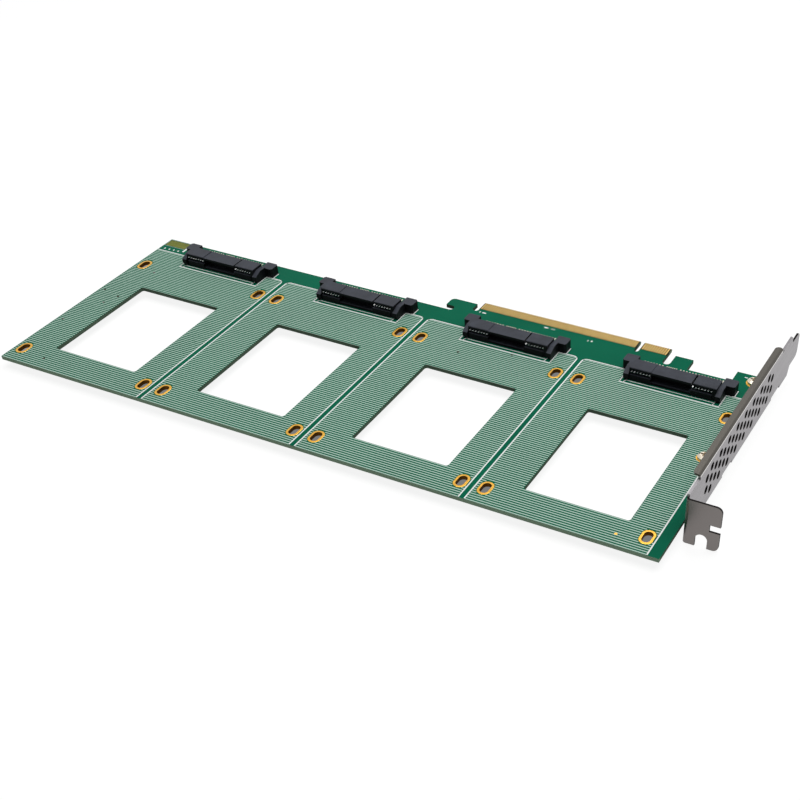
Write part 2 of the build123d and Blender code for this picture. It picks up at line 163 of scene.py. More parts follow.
class CardColours(PropertyGroup):
    """Colours of the finishes, as they look in daylight."""

    mask: tint("Mask", "#04654A", "Green solder mask")
    field: tint("Field", "#7C823C", "Olive blank field for a batch mark")
    bare: tint("Bare", "#2A1C06", "Bare laminate between the edge pads")
    laminate: tint("Laminate", "#586A5A", "Routed glass epoxy edge")
    # A paler colour for the edge faces near the board's rear and front edges, set against the darker window walls.
    rim: tint("Rim", "#849B85", "Paler glass epoxy of the board's outer edges")
    ink: tint("Ink", "#F8FDF9", "White legend ink")
    thin_ink: tint("Thin ink", "#AFCABC", "Legend ink thin enough for the mask to show through")
    via: tint("Via", "#3A2E26", "Tarnished ring of a small via")
    # Painted shade: the slot walls take this dark colour for the shade inside the slots.
    barrel: tint("Barrel", "#6B4514", "Dull plating inside a slot")
    # Painted light on the bracket: the flange and the tab are darker as painted shade, the fold line is a painted
    # highlight, and the cut edges are near black as painted shade.
    flange: tint("Flange", "#54514C", "Bracket sheet near its upper fold")
    fold: tint("Fold", "#E4E2E0", "Bright rubbed line along the bracket's fold")
    tab: tint("Tab", "#787371", "Bracket sheet at its screw tab")
    sheared: tint("Sheared", "#1E1C1B", "Punched and sheared sheet edges")
    pads: tint("Pads", "#FFD682", "Hard gold of the edge pads")
    pad_sides: tint("Pad sides", "#4A2E08", "Deeper gold at the sides of a pad")
    gold: tint("Gold", "#DEA843", "Gold over nickel")
    moulding: tint("Moulding", "#3A3D45", "Black housing plastic")
    # Painted shade: the housings' upright faces take this near black colour in place of the moulding's own.
    smooth: tint("Smooth", "#0D0E11", "Upright faces of a moulding, smooth and black")
    # Painted highlight: the contacts' mating tips take this pure white so they shine bright.
    tin: tint("Tin", "#FFFFFF", "Tinned contact metal")
    tails: tint("Tails", "#B4B0A4", "Matt tin of the soldered tails")
    nickel: tint("Nickel", "#868386", "Nickel plated bracket steel")
    zinc: tint("Zinc", "#D9CFBE", "Zinc plated screws")
    package: tint("Package", "#17181A", "Moulded chip package")
    tantalum: tint("Tantalum", "#C08A2C", "Capacitor case")
    ceramic: tint("Ceramic", "#9C8566", "Fired ceramic chip")
    floor: tint("Floor", "#F4F4F3", "Pale studio floor")


def linear(code):
    """Turns an sRGB hex value into the linear colour that shaders take."""
    parts = [int(code[i:i + 2], 16) / 255 for i in (1, 3, 5)]
    return [c / 12.92 if c <= 0.04045 else ((c + 0.055) / 1.055) ** 2.4 for c in parts] + [1.0]


def shade(code, factor):
    """The linear colour of a hex value, made darker or lighter by a factor."""
    return [min(1.0, c * factor) for c in linear(code)[:3]] + [1.0]


def add(tree, kind, inputs=(), **settings):
    """Adds a node to a tree with its settings, and its inputs as values or links."""
    made = tree.nodes.new(kind)
    for key, value in settings.items():
        setattr(made, key, value)
    for key, value in dict(inputs).items():
        if isinstance(value, bpy.types.NodeSocket):
            tree.links.new(value, made.inputs[key])
        else:
            made.inputs[key].default_value = value
    return made


def new_material(name):
    """An empty node material with its shader, and object coordinates for its patterns."""
    material = bpy.data.materials.new(name)
    material.use_nodes = True
    tree = material.node_tree
    tree.nodes.clear()
    shader = add(tree, "ShaderNodeBsdfPrincipled")
    add(tree, "ShaderNodeOutputMaterial", {"Surface": shader.outputs["BSDF"]})
    coords = add(tree, "ShaderNodeTexCoord").outputs["Object"]
    return material, tree, shader, coords


def mottled(tree, coords, size_mm, low, high, detail=4.0, stretch=(1, 1, 1)):
    """Two linear colours blended by noise whose blotches have a size in millimetres."""
    placed = add(tree, "ShaderNodeMapping", {"Vector": coords, "Scale": stretch})
    noise = add(
        tree, "ShaderNodeTexNoise",
        {"Vector": placed.outputs["Vector"], "Scale": 1 / (size_mm * MM), "Detail": detail, "Roughness": 0.55},
    )
    ramp = add(tree, "ShaderNodeMapRange", {"Value": noise.outputs["Fac"], "From Min": 0.3, "From Max": 0.7})
    share = ramp.outputs["Result"]
    return add(tree, "ShaderNodeMix", {0: share, 6: low, 7: high}, data_type="RGBA").outputs[2], share


def roughen(tree, shader, value, low, high):
    """Runs a shader's roughness between two values, and follows the pattern."""
    span = add(tree, "ShaderNodeMapRange", {"Value": value, "To Min": low, "To Max": high})
    tree.links.new(span.outputs["Result"], shader.inputs["Roughness"])


def grain(tree, shader, coords, size_mm, depth_mm, stretch=(1, 1, 1)):
    """Raises a fine grain whose size and depth are in millimetres."""
    placed = add(tree, "ShaderNodeMapping", {"Vector": coords, "Scale": stretch})
    noise = add(
        tree, "ShaderNodeTexNoise",
        {"Vector": placed.outputs["Vector"], "Scale": 1 / (size_mm * MM), "Detail": 3.0},
    )
    bump = add(tree, "ShaderNodeBump", {"Height": noise.outputs["Fac"], "Distance": depth_mm * MM, "Strength": 0.6})
    tree.links.new(bump.outputs["Normal"], shader.inputs["Normal"])


def layered(tree, colour, layers):
    """A colour with others laid over it, each as a share and a hex value or a socket."""
    for share, over in layers:
        over = linear(over) if isinstance(over, str) else over
        colour = add(tree, "ShaderNodeMix", {0: share, 6: colour, 7: over}, data_type="RGBA").outputs[2]
    return colour


def all_of(tree, shares):
    """One where every share is one: the shares multiplied in turn."""
    product, *others = shares
    for share in others:
        product = add(tree, "ShaderNodeMath", {0: product, 1: share}, operation="MULTIPLY").outputs[0]
    return product


def seen(tree):
    """One for rays from the camera and in gloss, and else nought."""
    path = add(tree, "ShaderNodeLightPath")
    rays = {0: path.outputs["Is Camera Ray"], 1: path.outputs["Is Glossy Ray"]}
    return add(tree, "ShaderNodeMath", rays, operation="MAXIMUM").outputs[0]


def between(tree, value, low, high):
    """One where a value lies between two limits, and else nought."""
    above = add(tree, "ShaderNodeMath", {0: value, 1: low}, operation="GREATER_THAN").outputs[0]
    below = add(tree, "ShaderNodeMath", {0: value, 1: high}, operation="LESS_THAN").outputs[0]
    return add(tree, "ShaderNodeMath", {0: above, 1: below}, operation="MULTIPLY").outputs[0]


def masked_laminate(colours):
    """Green solder mask over glass epoxy: satin film on both faces, duller fibre in the windows, and a paler colour
    on the edge faces near the board's rear and front edges.
    """
    material, tree, shader, coords = new_material("green solder mask on laminate")
    film, _ = mottled(tree, coords, 38, shade(colours.mask, 0.88), shade(colours.mask, 1.12))
    fibre, _ = mottled(
        tree, coords, 2.4, shade(colours.laminate, 0.55), shade(colours.laminate, 1.25), 6.0, (0.25, 0.25, 9)
    )
    facing = add(tree, "ShaderNodeSeparateXYZ", {"Vector": add(tree, "ShaderNodeNewGeometry").outputs["Normal"]})
    flat = add(tree, "ShaderNodeMath", {0: facing.outputs["Z"]}, operation="ABSOLUTE")
    steep = 0.6
    is_edge = add(tree, "ShaderNodeMath", {0: flat.outputs[0], 1: steep}, operation="LESS_THAN")
    place = add(tree, "ShaderNodeSeparateXYZ", {"Vector": coords})
    x, y = place.outputs["X"], place.outputs["Y"]
    rear_rim, front_rim = 3.0 * MM, BOARD_HIGH.x - 1.0 * MM
    within = between(tree, x, rear_rim, front_rim)
    # Edge faces near the board's rear and front edges take the paler colour.
    fibre = add(tree, "ShaderNodeMix", {0: within, 6: linear(colours.rim), 7: fibre}, data_type="RGBA").outputs[2]
    past_rows, past_ends = 0.3 * MM, 0.6 * MM
    rows = between(tree, x, -BEYOND, PAD_HIGH.x + past_rows)
    along = between(tree, y, PAD_LOW.y - past_ends, PAD_HIGH.y + past_ends)
    bare = all_of(tree, (rows, along))
    colour = layered(tree, film, ((bare, colours.bare), (is_edge.outputs[0], fibre)))
    tree.links.new(colour, shader.inputs["Base Color"])
    shader.inputs["Specular IOR Level"].default_value = 0.025
    roughen(tree, shader, is_edge.outputs[0], 0.4, 0.85)
    grain(tree, shader, coords, 0.9, 0.012)
    return material


def legend_ink(name, code):
    """Epoxy legend ink: thin, matt, and a little uneven where the mask shows through."""
    material, tree, shader, coords = new_material(name)
    colour, noise = mottled(tree, coords, 1.6, shade(code, 0.96), shade(code, 1.08))
    tree.links.new(colour, shader.inputs["Base Color"])
    roughen(tree, shader, noise, 0.55, 0.7)
    return material


def field_ink(colours):
    """Olive ink of a blank marking field: thin and matt, with the board's weave just showing."""
    material, tree, shader, coords = new_material("olive marking ink")
    colour, noise = mottled(tree, coords, 3.0, shade(colours.field, 0.7), shade(colours.field, 1.05))
    tree.links.new(colour, shader.inputs["Base Color"])
    shader.inputs["Specular IOR Level"].default_value = 0.1
    roughen(tree, shader, noise, 0.5, 0.65)
    return material


def hard_gold(code, name, rough, stretch):
    """Gold over nickel: bright metal with fine rubbed lines along one way."""
    material, tree, shader, coords = new_material(name)
    colour, noise = mottled(tree, coords, 0.8, shade(code, 0.84), shade(code, 1.08), 5.0, stretch)
    tree.links.new(colour, shader.inputs["Base Color"])
    shader.inputs["Metallic"].default_value = 1.0
    roughen(tree, shader, noise, rough - 0.06, rough + 0.08)
    grain(tree, shader, coords, 0.35, 0.004, stretch)
    return material


def pad_gold(colours):
    """Hard gold rubbed bright down the middle of each edge pad, and deeper toward its sides."""
    material, tree, shader, coords = new_material("hard gold edge pads")
    bright, noise = mottled(tree, coords, 0.8, shade(colours.pads, 0.9), shade(colours.pads, 1.08), 5.0, (0.2, 6, 1))
    place = add(tree, "ShaderNodeSeparateXYZ", {"Vector": coords})
    from_key = add(tree, "ShaderNodeMath", {0: place.outputs["Y"]}, operation="ABSOLUTE")
    first_pad = (PAD_HIGH.y - PAD_WIDTH / 2) % PAD_PITCH
    along = add(tree, "ShaderNodeMath", {0: from_key.outputs[0], 1: first_pad}, operation="SUBTRACT")
    off_middle = add(tree, "ShaderNodeMath", {0: along.outputs[0], 1: PAD_PITCH / 2}, operation="PINGPONG")
    rubbed, deep = 0.24 * PAD_WIDTH, 0.34 * PAD_WIDTH
    side = add(tree, "ShaderNodeMapRange", {"Value": off_middle.outputs[0], "From Min": rubbed, "From Max": deep})
    colour = layered(tree, bright, ((side.outputs["Result"], colours.pad_sides),))
    tree.links.new(colour, shader.inputs["Base Color"])
    shader.inputs["Metallic"].default_value = 1.0
    roughen(tree, shader, noise, 0.24, 0.38)
    return material


def moulded(code, name, rough, upright=None):
    """Glass filled plastic: grained satin tops, and upright faces that take a darker colour, when one is given, as
    painted shade.
    """
    material, tree, shader, coords = new_material(name)
    colour, noise = mottled(tree, coords, 6.0, shade(code, 0.8), shade(code, 1.3))
    normal = add(tree, "ShaderNodeSeparateXYZ", {"Vector": add(tree, "ShaderNodeNewGeometry").outputs["Normal"]})
    lowest, skyward = -1.1, 0.5
    is_upright = between(tree, normal.outputs["Z"], lowest, skyward)
    # Upright faces take the darker colour as painted shade; the tops keep the moulding's own colour.
    tree.links.new(layered(tree, colour, ((is_upright, upright or code),)), shader.inputs["Base Color"])
    shader.inputs["Specular IOR Level"].default_value = 0.1
    roughen(tree, shader, noise, rough - 0.05, rough + 0.08)
    grain(tree, shader, coords, 0.18, 0.01)
    return material


def plated(code, name, rough, grain_mm, stretch):
    """Plated sheet or wire: grey metal whose faint rolling lines run one way."""
    material, tree, shader, coords = new_material(name)
    colour, noise = mottled(tree, coords, grain_mm, shade(code, 0.86), shade(code, 1.1), 5.0, stretch)
    tree.links.new(colour, shader.inputs["Base Color"])
    shader.inputs["Metallic"].default_value = 1.0
    roughen(tree, shader, noise, rough - 0.05, rough + 0.07)
    grain(tree, shader, coords, grain_mm * 0.5, 0.006, stretch)
    return material


def contact_metal(colours):
    """Contacts: matt tin at the soldered tails, and a pure white painted highlight at the mating tips, which catch
    the sky.
    """
    material, tree, shader, coords = new_material("tinned contacts")
    place = add(tree, "ShaderNodeSeparateXYZ", {"Vector": coords})
    housing_low, housing_high = HOUSINGS[0]
    is_tip = between(tree, place.outputs["X"], (housing_low[0] + housing_high[0]) / 2, BEYOND)
    # The tips take pure white as a painted highlight; the tails keep the matt tin.
    colour = layered(tree, linear(colours.tails), ((is_tip, colours.tin),))
    tree.links.new(colour, shader.inputs["Base Color"])
    shader.inputs["Metallic"].default_value = 1.0
    roughen(tree, shader, is_tip, 0.5, 0.6)
    return material


def bracket_sheet(colours):
    """Nickel plated sheet steel: satin grey, with browner painted shade on the upper flange and the tab, a painted
    highlight along the fold, and dark painted shade where it was punched or sheared.
    """
    material, tree, shader, coords = new_material("nickel plated sheet steel")
    high = Vector(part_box("mounting_bracket")[1])
    flange_depth, tab_depth, plate_end = 0.9 * MM, 1.3 * MM, 1.6 * MM
    fold_low, fold_high = 1.15 * MM, 0.85 * MM
    plate_inner, plate_skin, vents_top = 0.84 * MM, 0.02 * MM, 13.6 * MM
    rolled = (0.15, 1, 2.5)
    sheet, _ = mottled(tree, coords, 3.0, shade(colours.nickel, 0.88), shade(colours.nickel, 1.08), 5.0, rolled)
    place = add(tree, "ShaderNodeSeparateXYZ", {"Vector": coords})
    x, y, z = place.outputs["X"], place.outputs["Y"], place.outputs["Z"]
    normal = add(tree, "ShaderNodeSeparateXYZ", {"Vector": add(tree, "ShaderNodeNewGeometry").outputs["Normal"]})
    at_top = between(tree, z, high.z - flange_depth, BEYOND)
    at_tab = between(tree, x, high.x - tab_depth, BEYOND)
    at_fold = between(tree, z, high.z - fold_low, high.z - fold_high)
    in_plate = between(tree, y, PLATE_OUTER_Y - plate_inner, PLATE_OUTER_Y - plate_skin)
    inside = between(tree, x, -BEYOND, high.x - plate_end)
    clear = between(tree, z, -BEYOND, vents_top)
    edge_on = 0.3
    across = between(tree, normal.outputs["Y"], -edge_on, edge_on)
    punched = all_of(tree, (in_plate, inside, clear, across))
    sheared = all_of(tree, (between(tree, normal.outputs["X"], -edge_on, edge_on), at_tab))
    cut = add(tree, "ShaderNodeMath", {0: punched, 1: sheared}, operation="MAXIMUM").outputs[0]
    # Painted shade on the flange, the tab and the cut edges, and a painted highlight along the fold.
    layers = ((at_top, colours.flange), (at_tab, colours.tab), (at_fold, colours.fold), (cut, colours.sheared))
    tree.links.new(layered(tree, sheet, layers), shader.inputs["Base Color"])
    shader.inputs["Metallic"].default_value = 1.0
    roughen(tree, shader, cut, 0.34, 0.7)
    grain(tree, shader, coords, 1.5, 0.006, rolled)
    return material


def dress(node, material):
    """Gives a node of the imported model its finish."""
    piece = frame["nodes"][node]
    if not piece.material_slots:
        piece.data.materials.append(material)
    for held in piece.material_slots:
        held.material = material


def finish_piece(name, bm, material):
    """Makes a piece of a bmesh, joins parts that meet end to end, and lets it ride on the card."""
    bmesh.ops.remove_doubles(bm, verts=bm.verts, dist=1e-7)
    inner = [face for face in bm.faces if all(len(edge.link_faces) > 2 for edge in face.edges)]
    bmesh.ops.delete(bm, geom=inner, context="FACES_ONLY")
    bmesh.ops.recalc_face_normals(bm, faces=bm.faces)
    mesh = bpy.data.meshes.new(name)
    bm.to_mesh(mesh)
    bm.free()
    piece = bpy.data.objects.new(name, mesh)
    bpy.context.scene.collection.objects.link(piece)
    mesh.materials.append(material)
    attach(piece, "root")
    return piece


def bar(bm, low, high):
    """Adds a closed bar between two corners."""
    low, high = Vector(low), Vector(high)
    place = Matrix.Translation((low + high) / 2) @ Matrix.Diagonal((*(high - low), 1))
    bmesh.ops.create_cube(bm, size=1, matrix=place)


def bend(bm, centre, radius, width, height, start, sweep):
    """Adds a closed arc of stroke around a centre, from a start angle in degrees."""
    inner, outer = radius - width / 2, radius + width / 2
    corners = [bm.verts.new((x, 0, z)) for x, z in ((inner, 0), (outer, 0), (outer, height), (inner, height))]
    section = bm.faces.new(corners)
    bmesh.ops.rotate(bm, verts=corners, matrix=Matrix.Rotation(math.radians(start), 3, "Z"))
    bmesh.ops.translate(bm, verts=corners, vec=centre)
    bmesh.ops.spin(
        bm, geom=[section, *section.edges, *corners], cent=centre, axis=(0, 0, 1),
        angle=math.radians(sweep), steps=6, use_merge=False,
    )
    open_edges = [edge for edge in bm.edges if edge.is_boundary]
    bmesh.ops.holes_fill(bm, edges=open_edges, sides=4)


def flattened(point, travel):
    """A point of a drawn-out ring, put back on the plain circle."""
    return point.x - math.copysign(travel / 2, point.x), point.y


def loop_ring(bm, centre, section, travel, steps):
    """Adds a closed ring of a section around a centre, drawn out along X by a travel."""
    old = set(bm.verts)
    start = Matrix.Rotation(math.pi / steps, 3, "Z")
    points = [bm.verts.new(start @ Vector((r, 0, z))) for r, z in section]
    edges = [bm.edges.new((a, b)) for a, b in zip(points, points[1:] + points[:1])]
    bmesh.ops.spin(
        bm, geom=points + edges, cent=(0, 0, 0), axis=(0, 0, 1), angle=2 * math.pi, steps=steps, use_merge=True
    )
    made = [vert for vert in bm.verts if vert not in old]
    for vert in made:
        vert.co.x += math.copysign(travel / 2, vert.co.x)
    wall = min(r for r, _ in section) * 1.02
    for face in bm.faces:
        on_wall = all(vert not in old and math.hypot(*flattened(vert.co, travel)) < wall for vert in face.verts)
        if on_wall:
            face.material_index = 1
    bmesh.ops.translate(bm, verts=made, vec=centre)


def open_runs(low, high, blocked):
    """The stretches between two limits that no blocked stretch covers."""
    runs, at = [], low
    for start, end in sorted(blocked):
        if start > at:
            runs.append((at, min(start, high)))
        at = max(at, end)
    if at < high:
        runs.append((at, high))
    return [(a, b) for a, b in runs if b - a > SHORTEST_STROKE]


def slot_centres(bay):
    """Centres of a bay's four drive slots."""
    return [
        bay + Vector((x * SPACING_X / 2, y * SPACING_Y / 2, 0))
        for x in (-1, 1)
        for y in (-1, 1)
    ]


def receptacle_gap(number, sizes):
    """Where the strokes beside one receptacle run: left and right places along the board."""
    middle = (HOUSINGS[number][0][1] + HOUSINGS[number][1][1]) / 2
    return middle - sizes.gap_left, middle + sizes.gap_right


class CARD_OT_board(Operator):
    """Gives the circuit board its mask and its routed edges"""

    bl_idname = "card.board"
    bl_label = "Board"

    def execute(self, context):
        dress("circuit_board", masked_laminate(context.scene.card_colours))
        return {"FINISHED"}


class CARD_OT_edge_pads(Operator):
    """Gives the edge connector's pads their hard gold"""

    bl_idname = "card.edge_pads"
    bl_label = "Edge pads"

    def execute(self, context):
        gold = pad_gold(context.scene.card_colours)
        for side in ("component", "solder"):
            dress(f"edge_pads_{side}_side", gold)
        return {"FINISHED"}


class CARD_OT_legend(Operator):
    """Prints the bay outlines, the hatching and the receptacle outlines"""

    bl_idname = "card.legend"
    bl_label = "Legend"

    def execute(self, context):
        sizes = context.scene.card_sizes
        colours = context.scene.card_colours
        ink = legend_ink("white epoxy legend ink", colours.ink)
        thin_ink = legend_ink("thin legend ink of the hatching", colours.thin_ink)
        outlines, hatching, marks = bmesh.new(), bmesh.new(), bmesh.new()
        for number, bay in enumerate(BAYS):
            self.outline(outlines, number, bay, sizes)
            self.receptacle(outlines, number, bay, sizes)
            self.hatch(hatching, number, bay, sizes)
        self.marks(marks, sizes)
        self.field(context)
        self.vias(context)
        finish_piece("legend_outlines", outlines, ink)
        finish_piece("legend_hatching", hatching, thin_ink)
        finish_piece("legend_marks", marks, ink)
        return {"FINISHED"}

    @staticmethod
    def stroke(bm, x_ends, y_ends, width, sizes):
        """Adds a straight stroke along X or Y, given its middle line."""
        half = width / 2
        grow_x = half if x_ends[0] == x_ends[1] else 0
        grow_y = half if y_ends[0] == y_ends[1] else 0
        bar(
            bm,
            (min(x_ends) - grow_x, min(y_ends) - grow_y, 0),
            (max(x_ends) + grow_x, max(y_ends) + grow_y, sizes.ink_height),
        )

    @staticmethod
    def slant(bm, start, end, width, sizes):
        """Adds a straight stroke between any two points on the board."""
        start, end = Vector(start), Vector(end)
        run = end - start
        place = Matrix.Translation(((start.x + end.x) / 2, (start.y + end.y) / 2, sizes.ink_height / 2))
        turn = Matrix.Rotation(math.atan2(run.y, run.x), 4, "Z")
        size = Matrix.Diagonal((run.length, width, sizes.ink_height, 1))
        bmesh.ops.create_cube(bm, size=1, matrix=place @ turn @ size)

    def outline(self, bm, number, bay, sizes):
        """Adds one bay's outline, left open where the receptacle stands."""
        radius, width = sizes.outline_radius, sizes.outline_width
        left, right = bay.y - sizes.bay_left, bay.y + sizes.bay_right
        rear, front = bay.x - sizes.bay_rear, BOARD_HIGH.x - sizes.edge_margin
        gap_left, gap_right = receptacle_gap(number, sizes)
        if left - width > BOARD_LOW.y:
            self.stroke(bm, (rear + radius, front), (left, left), width, sizes)
            bend(bm, (rear + radius, left + radius, 0), radius, width, sizes.ink_height, 180, 90)
            self.stroke(bm, (rear, rear), (left + radius, gap_left), width, sizes)
        else:
            self.stroke(bm, (rear, rear), (BOARD_LOW.y + sizes.edge_margin, gap_left), width, sizes)
        self.stroke(bm, (rear + radius, front), (right, right), width, sizes)
        bend(bm, (rear + radius, right - radius, 0), radius, width, sizes.ink_height, 90, 90)
        self.stroke(bm, (rear, rear), (gap_right, right - radius), width, sizes)

    def receptacle(self, bm, number, bay, sizes):
        """Adds the fine strokes around one receptacle: two front lines, sides and corner ticks."""
        width, thin, tick = sizes.fine_width, 0.8 * sizes.fine_width, sizes.tick_length
        rear = bay.x - sizes.bay_rear
        left, right = receptacle_gap(number, sizes)
        outer = HOUSINGS[number][1][0] + sizes.front_line
        inner = HOUSINGS[number][1][0] - sizes.inner_line
        inner_left, inner_right = left + sizes.tick_left, right - sizes.tick_right
        for side in (left, right):
            self.stroke(bm, (rear, outer), (side, side), width, sizes)
        self.stroke(bm, (outer, outer), (left - width / 2, right + width / 2), width, sizes)
        self.stroke(bm, (inner, inner), (inner_left, inner_right), thin, sizes)
        for side, lean in ((inner_left, sizes.lean_left), (inner_right, sizes.lean_right)):
            self.stroke(bm, (inner - tick, inner), (side, side), thin, sizes)
            self.slant(bm, (inner, side), (outer, side - lean), thin, sizes)
        beside = right + sizes.beside
        self.stroke(bm, (rear - 1.5 * tick, rear), (beside, beside), thin, sizes)

    @staticmethod
    def marks(bm, sizes):
        """Adds plain short bars where the board has small printed marks."""
        height = sizes.ink_height
        for x, y, long_x, long_y in SMALL_MARKS:
            bar(
                bm,
                ((x - long_x / 2) * MM, (y - long_y / 2) * MM, 0),
                ((x + long_x / 2) * MM, (y + long_y / 2) * MM, height),
            )

    def field(self, context):
        """Adds the blank olive field of a batch mark in its white frame, in the far rear corner."""
        sizes = context.scene.card_sizes
        low, high = (Vector((x * MM, y * MM, 0)) for x, y in FIELD_CORNERS)
        width, height = sizes.fine_width, sizes.ink_height
        bm = bmesh.new()
        bar(bm, low, high + Vector((0, 0, height)))
        finish_piece("batch_field", bm, field_ink(context.scene.card_colours))
        bm = bmesh.new()
        for x in (low.x, high.x):
            self.stroke(bm, (x, x), (low.y, high.y), width, sizes)
        for y in (low.y, high.y):
            self.stroke(bm, (low.x, high.x), (y, y), width, sizes)
        finish_piece("batch_frame", bm, legend_ink("white frame ink", context.scene.card_colours.thin_ink))

    @staticmethod
    def dots(name, places, taper, material, sizes):
        """Adds small round dots at places in millimetres, narrower at the top by a taper."""
        bm = bmesh.new()
        for x, y in places:
            bmesh.ops.create_cone(
                bm, cap_ends=True, segments=12, radius1=sizes.via_radius, radius2=taper * sizes.via_radius,
                depth=2 * sizes.ink_height, matrix=Matrix.Translation((x * MM, y * MM, sizes.ink_height)),
            )
        finish_piece(name, bm, material)

    def vias(self, context):
        """Adds the small bare vias that show through the hatching, and the gold test point."""
        sizes, colours = context.scene.card_sizes, context.scene.card_colours
        tarnished = hard_gold(colours.via, "tarnished vias", 0.5, (1, 1, 1))
        self.dots("tarnished_vias", VIAS, 0.7, tarnished, sizes)
        bright = hard_gold(colours.gold, "gold test point", 0.3, (1, 1, 1))
        self.dots("test_point", (TEST_POINT,), 0.9, bright, sizes)

    def hatch(self, bm, number, bay, sizes):
        """Adds one bay's hatching, clear of its window, slots and receptacle."""
        margin = sizes.hatch_margin
        low = max(bay.y - sizes.bay_left + sizes.outline_width / 2, BOARD_LOW.y + sizes.hatch_edge)
        high = bay.y + sizes.bay_right - sizes.outline_width / 2
        window_low, window_high = WINDOWS[number]
        clear_x = HOUSINGS[number][1][0] + sizes.front_line
        gap = receptacle_gap(number, sizes)
        half_width = sizes.hatch_width / 2
        clear = WINDOW_INSET + margin
        window = (window_low[1] - clear, window_high[1] + clear)
        row = BOARD_HIGH.x - half_width - margin
        while row > bay.x - sizes.bay_rear + sizes.hatch_width:
            blocked = []
            near, far = row - half_width, row + half_width
            if near < window_high[0] + clear and far > window_low[0] - clear:
                blocked.append(window)
                for start, end in ((near, min(far, window_low[0] - clear)), (max(near, window_high[0] + clear), far)):
                    if end - start > NARROWEST_STROKE:
                        left, right = window[0] + STROKE_GAP, window[1] - STROKE_GAP
                        bar(bm, (start, left, 0), (end, right, sizes.ink_height))
            if row < clear_x:
                blocked.append(gap)
            reach = SLOT_HALF_WIDTH + sizes.land_width + margin
            for centre in slot_centres(bay):
                past = max(0.0, abs(row - centre.x) - SLOT_TRAVEL / 2 - half_width)
                if past < reach:
                    half = math.sqrt(reach**2 - past**2)
                    blocked.append((centre.y - half, centre.y + half))
            for start, end in open_runs(low, high, blocked):
                bar(bm, (near, start, 0), (far, end, sizes.ink_height))
            row -= sizes.hatch_pitch


class CARD_OT_slot_plating(Operator):
    """Plates the drive slots and the bracket screws' holes with gold lands"""

    bl_idname = "card.slot_plating"
    bl_label = "Slot plating"

    def execute(self, context):
        sizes = context.scene.card_sizes
        colours = context.scene.card_colours
        gold = hard_gold(colours.gold, "immersion gold lands", 0.26, (1, 1, 1))
        # The slot walls are painted dark as shade inside the slots.
        barrel_shade = hard_gold(colours.barrel, "dull plating inside slots", 0.5, (1, 1, 1))
        for number, bay in enumerate(BAYS, start=1):
            bm = bmesh.new()
            section = self.section(SLOT_HALF_WIDTH, sizes.land_width, sizes)
            for centre in slot_centres(bay):
                loop_ring(bm, centre, section, SLOT_TRAVEL, sizes.ring_steps)
            piece = finish_piece(f"slot_plating_bay_{number}", bm, gold)
            piece.data.materials.append(barrel_shade)
        low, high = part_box("bracket_screws")
        head = (high[1] - low[1]) / 2
        bm = bmesh.new()
        for x in (low[0] + head, high[0] - head):
            centre = Vector((x, (low[1] + high[1]) / 2, 0))
            hole = head - sizes.head_rim
            section = self.section(hole, sizes.screw_land_radius - hole, sizes)
            loop_ring(bm, centre, section, 0.0, sizes.ring_steps)
        finish_piece("screw_hole_plating", bm, gold)
        return {"FINISHED"}

    @staticmethod
    def section(hole, land, sizes):
        """Section of a plated wall with a land on each face of the board."""
        top, under = sizes.land_height, BOARD_LOW.z - sizes.land_height
        inner, outer = hole - sizes.plating, hole + land
        rim, sunk = outer - sizes.land_bevel, 0.01 * MM
        return [
            (inner, under), (inner, top), (rim, top), (outer, 0.0),
            (hole, -sunk), (hole, BOARD_LOW.z + sunk), (outer, BOARD_LOW.z), (rim, under),
        ]


class CARD_OT_receptacles(Operator):
    """Gives the receptacles their moulded housings and tinned contacts"""

    bl_idname = "card.receptacles"
    bl_label = "Receptacles"

    def execute(self, context):
        colours = context.scene.card_colours
        black = moulded(colours.moulding, "glass filled housing plastic", 0.42, colours.smooth)
        metal = contact_metal(colours)
        tin = plated(colours.tails, "matt tinned hold-downs", 0.4, 0.6, (0.2, 1, 1))
        for number in range(1, len(BAYS) + 1):
            dress(f"receptacle_{number}_housing", black)
            dress(f"receptacle_{number}_contacts", metal)
            dress(f"receptacle_{number}_hold_downs", tin)
        return {"FINISHED"}


class CARD_OT_bracket(Operator):
    """Gives the bracket its nickel plated sheet"""

    bl_idname = "card.bracket"
    bl_label = "Bracket"

    def execute(self, context):
        colours = context.scene.card_colours
        dress("mounting_bracket", bracket_sheet(colours))
        dress("bracket_screws", plated(colours.zinc, "zinc plated screw steel", 0.25, 0.8, (1, 1, 1)))
        return {"FINISHED"}


class CARD_OT_solder_side(Operator):
    """Gives the parts on the solder side their finishes"""

    bl_idname = "card.solder_side"
    bl_label = "Solder side"

    def execute(self, context):
        colours = context.scene.card_colours
        dress("clock_buffer", moulded(colours.package, "moulded chip package", 0.5))
        dress("bulk_capacitors", moulded(colours.tantalum, "moulded tantalum case", 0.4))
        dress("chip_capacitors", moulded(colours.ceramic, "fired ceramic", 0.35))
        return {"FINISHED"}


